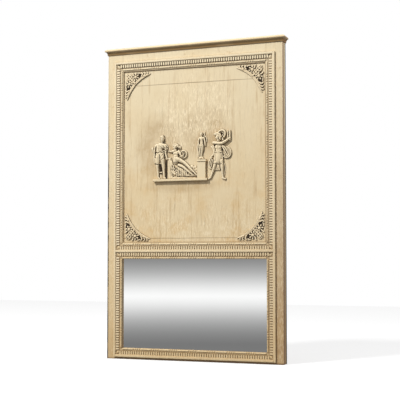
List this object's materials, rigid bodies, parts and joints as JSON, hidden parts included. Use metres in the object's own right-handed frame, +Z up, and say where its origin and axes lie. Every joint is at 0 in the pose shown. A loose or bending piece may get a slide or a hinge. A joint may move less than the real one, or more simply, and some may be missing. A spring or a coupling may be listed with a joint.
{
  "type": "trumeau mirror",
  "caption": "Tall painted wall panel with a low mirror plate under a carved relief panel, framed by fluted and beaded mouldings and topped by a small cornice.",
  "frame": {"origin": "bottom centre of the whole object: the middle of its width, half way through its depth, at the level of the face that stands on a mantel shelf", "axes": "+X to the right as seen from the front, +Y from the painted front into the wall, +Z up"},
  "size_m": [0.992, 0.076, 1.6431],
  "materials": {
    "painted_frame": "aged cream paint on wood, worn at the edges",
    "painted_panel": "aged cream paint with fine vertical cracks",
    "painted_moulding": "aged cream paint with brown patina in the recesses",
    "painted_carving": "aged cream paint over carving, brown patina in the recesses",
    "painted_cornice": "aged paint worn to brown",
    "bare_wood": "unpainted old softwood",
    "silvered_glass": "flat silvered plate",
    "hanger_metal": "dull aged brass",
    "screw_steel": "dull steel"
  },
  "bodies": {
    "frame": {"batten_screws": "screw_steel", "bottom_batten": "bare_wood", "bottom_fillet": "painted_moulding", "bottom_left_spandrel": "painted_carving", "bottom_rail": "painted_frame", "bottom_right_spandrel": "painted_carving", "cornice_front": "painted_cornice", "cornice_left_return": "painted_cornice", "cornice_right_return": "painted_cornice", "hanger_screws": "screw_steel", "left_batten": "bare_wood", "left_fillet": "painted_moulding", "left_hanger_strap": "hanger_metal", "left_stile": "painted_frame", "middle_fillet": "painted_moulding", "middle_rail": "painted_frame", "mirror_back_board": "bare_wood", "mirror_bottom_beading": "painted_moulding", "mirror_bottom_fluting": "painted_moulding", "mirror_glass": "silvered_glass", "mirror_left_beading": "painted_moulding", "mirror_left_fluting": "painted_moulding", "mirror_right_beading": "painted_moulding", "mirror_right_fluting": "painted_moulding", "mirror_top_beading": "painted_moulding", "mirror_top_fluting": "painted_moulding", "panel_bottom_beading": "painted_moulding", "panel_bottom_board": "painted_panel", "panel_bottom_fluting": "painted_moulding", "panel_field_board": "painted_panel", "panel_left_beading": "painted_moulding", "panel_left_fluting": "painted_moulding", "panel_right_beading": "painted_moulding", "panel_right_fluting": "painted_moulding", "panel_top_beading": "painted_moulding", "panel_top_board": "painted_panel", "panel_top_fluting": "painted_moulding", "relief_pedestal": "painted_carving", "relief_plinth": "painted_carving", "relief_reclining_figure": "painted_carving", "relief_standing_figure": "painted_carving", "relief_statue": "painted_carving", "relief_striding_figure": "painted_carving", "right_batten": "bare_wood", "right_fillet": "painted_moulding", "right_hanger_strap": "hanger_metal", "right_stile": "painted_frame", "tenon_pegs": "bare_wood", "top_batten": "bare_wood", "top_fillet": "painted_moulding", "top_left_spandrel": "painted_carving", "top_rail": "painted_frame", "top_right_spandrel": "painted_carving", "turn_button_screws": "screw_steel"},
    "left_ring": {"left_hanging_ring": "hanger_metal"},
    "right_ring": {"right_hanging_ring": "hanger_metal"},
    "lower_left_button": {"lower_left_turn_button": "bare_wood"},
    "upper_left_button": {"upper_left_turn_button": "bare_wood"},
    "lower_right_button": {"lower_right_turn_button": "bare_wood"},
    "upper_right_button": {"upper_right_turn_button": "bare_wood"}
  },
  "joints": [
    {"name": "left_ring_swing", "type": "hinge", "parent": "frame", "child": "left_ring", "pos_m": [-0.4125, 0.015, 1.4], "axis": [1, 0, 0], "range_deg": [0, 180]},
    {"name": "right_ring_swing", "type": "hinge", "parent": "frame", "child": "right_ring", "pos_m": [0.4125, 0.015, 1.4], "axis": [1, 0, 0], "range_deg": [0, 180]},
    {"name": "lower_left_button_turn", "type": "hinge", "parent": "frame", "child": "lower_left_button", "pos_m": [-0.418, 0.0128, 0.169], "axis": [0, 1, 0], "range_deg": [-90, 90]},
    {"name": "lower_right_button_turn", "type": "hinge", "parent": "frame", "child": "lower_right_button", "pos_m": [0.418, 0.0128, 0.169], "axis": [0, 1, 0], "range_deg": [-90, 90]},
    {"name": "upper_left_button_turn", "type": "hinge", "parent": "frame", "child": "upper_left_button", "pos_m": [-0.418, 0.0128, 0.409], "axis": [0, 1, 0], "range_deg": [-90, 90]},
    {"name": "upper_right_button_turn", "type": "hinge", "parent": "frame", "child": "upper_right_button", "pos_m": [0.418, 0.0128, 0.409], "axis": [0, 1, 0], "range_deg": [-90, 90]}
  ]
}
